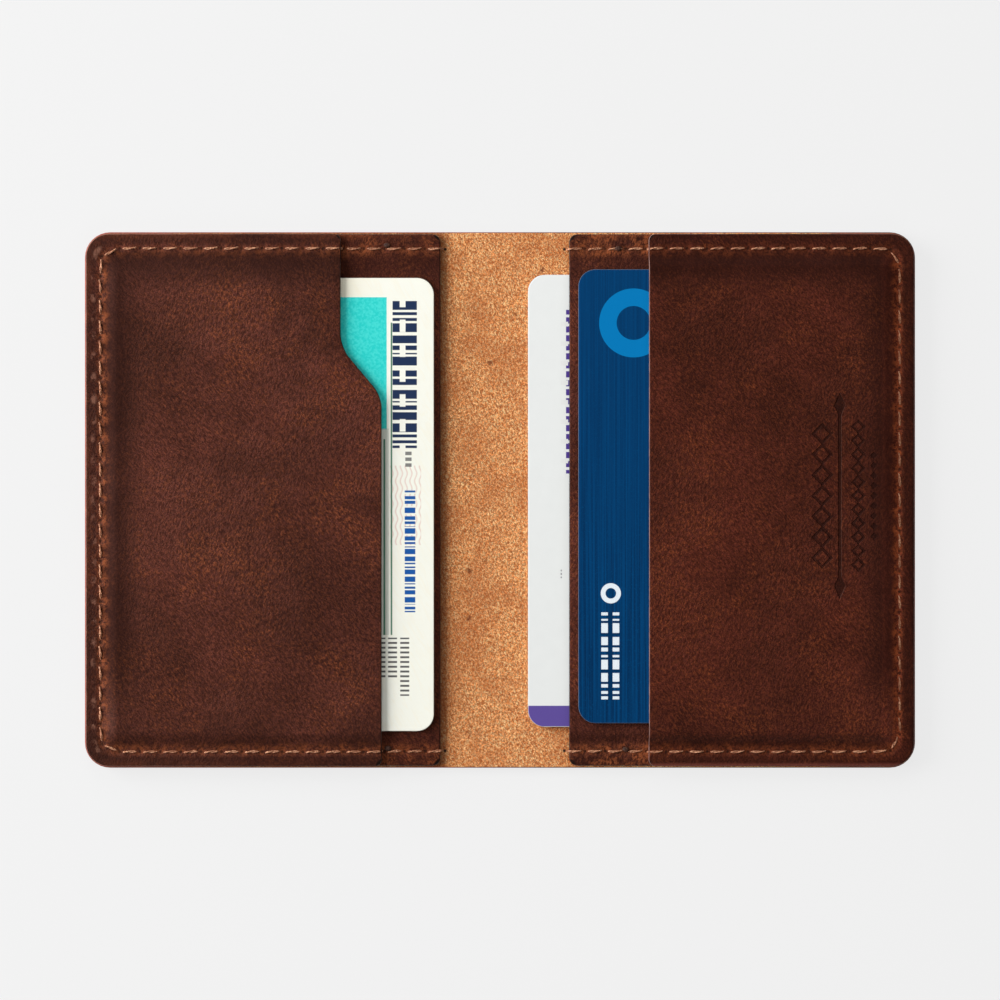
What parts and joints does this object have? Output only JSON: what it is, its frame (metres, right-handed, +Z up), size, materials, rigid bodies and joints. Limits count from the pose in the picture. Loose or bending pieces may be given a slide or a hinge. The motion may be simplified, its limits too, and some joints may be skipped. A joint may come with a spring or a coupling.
{
  "type": "leather card wallet",
  "caption": "Open two-fold leather card wallet with nested sewn pockets on both halves, a thumb notch and sliding cards.",
  "frame": {"origin": "middle of the open wallet's underside, under the fold, on the surface that it lies on", "axes": "+X across the open wallet towards the right half, +Y along the fold, +Z up, out of the pockets"},
  "size_m": [0.1574, 0.1016, 0.0052],
  "materials": {
    "cover_leather": "waxed dark brown grain outside, tan flesh side inside",
    "pocket_leather": "waxed dark brown pull-up grain",
    "thread": "waxed tan thread",
    "card_cream": "printed satin plastic",
    "card_blue": "printed satin plastic",
    "card_white": "printed satin plastic"
  },
  "bodies": {
    "right_half": {"cover_right": "cover_leather", "right_back_pocket": "pocket_leather", "right_front_pocket": "pocket_leather", "right_needle_thread": "thread", "right_bobbin_thread": "thread"},
    "spine": {"cover_spine": "cover_leather"},
    "left_half": {"cover_left": "cover_leather", "left_back_pocket": "pocket_leather", "left_front_pocket": "pocket_leather", "left_needle_thread": "thread", "left_bobbin_thread": "thread"},
    "id_card": {"id_card": "card_cream"},
    "blue_card": {"blue_card": "card_blue"},
    "white_card": {"white_card": "card_white"}
  },
  "joints": [
    {"name": "spine_bend", "type": "hinge", "parent": "right_half", "child": "spine", "pos_m": [0.00375, 0, 0.0013], "axis": [0, 1, 0], "range_deg": [0, 90]},
    {"name": "wallet_fold", "type": "hinge", "parent": "spine", "child": "left_half", "pos_m": [-0.00375, 0, 0.0013], "axis": [0, 1, 0], "range_deg": [0, 90]},
    {"name": "id_card_slide", "type": "slide", "parent": "left_half", "child": "id_card", "axis": [1, 0, 0], "range_m": [-0.006, 0.006]},
    {"name": "blue_card_slide", "type": "slide", "parent": "right_half", "child": "blue_card", "axis": [-1, 0, 0], "range_m": [-0.0037, 0.008]},
    {"name": "white_card_slide", "type": "slide", "parent": "right_half", "child": "white_card", "axis": [-1, 0, 0], "range_m": [-0.012, 0.0012]}
  ],
  "couplings": [
    {"joint": "spine_bend", "follows": "wallet_fold", "ratio": 1}
  ]
}
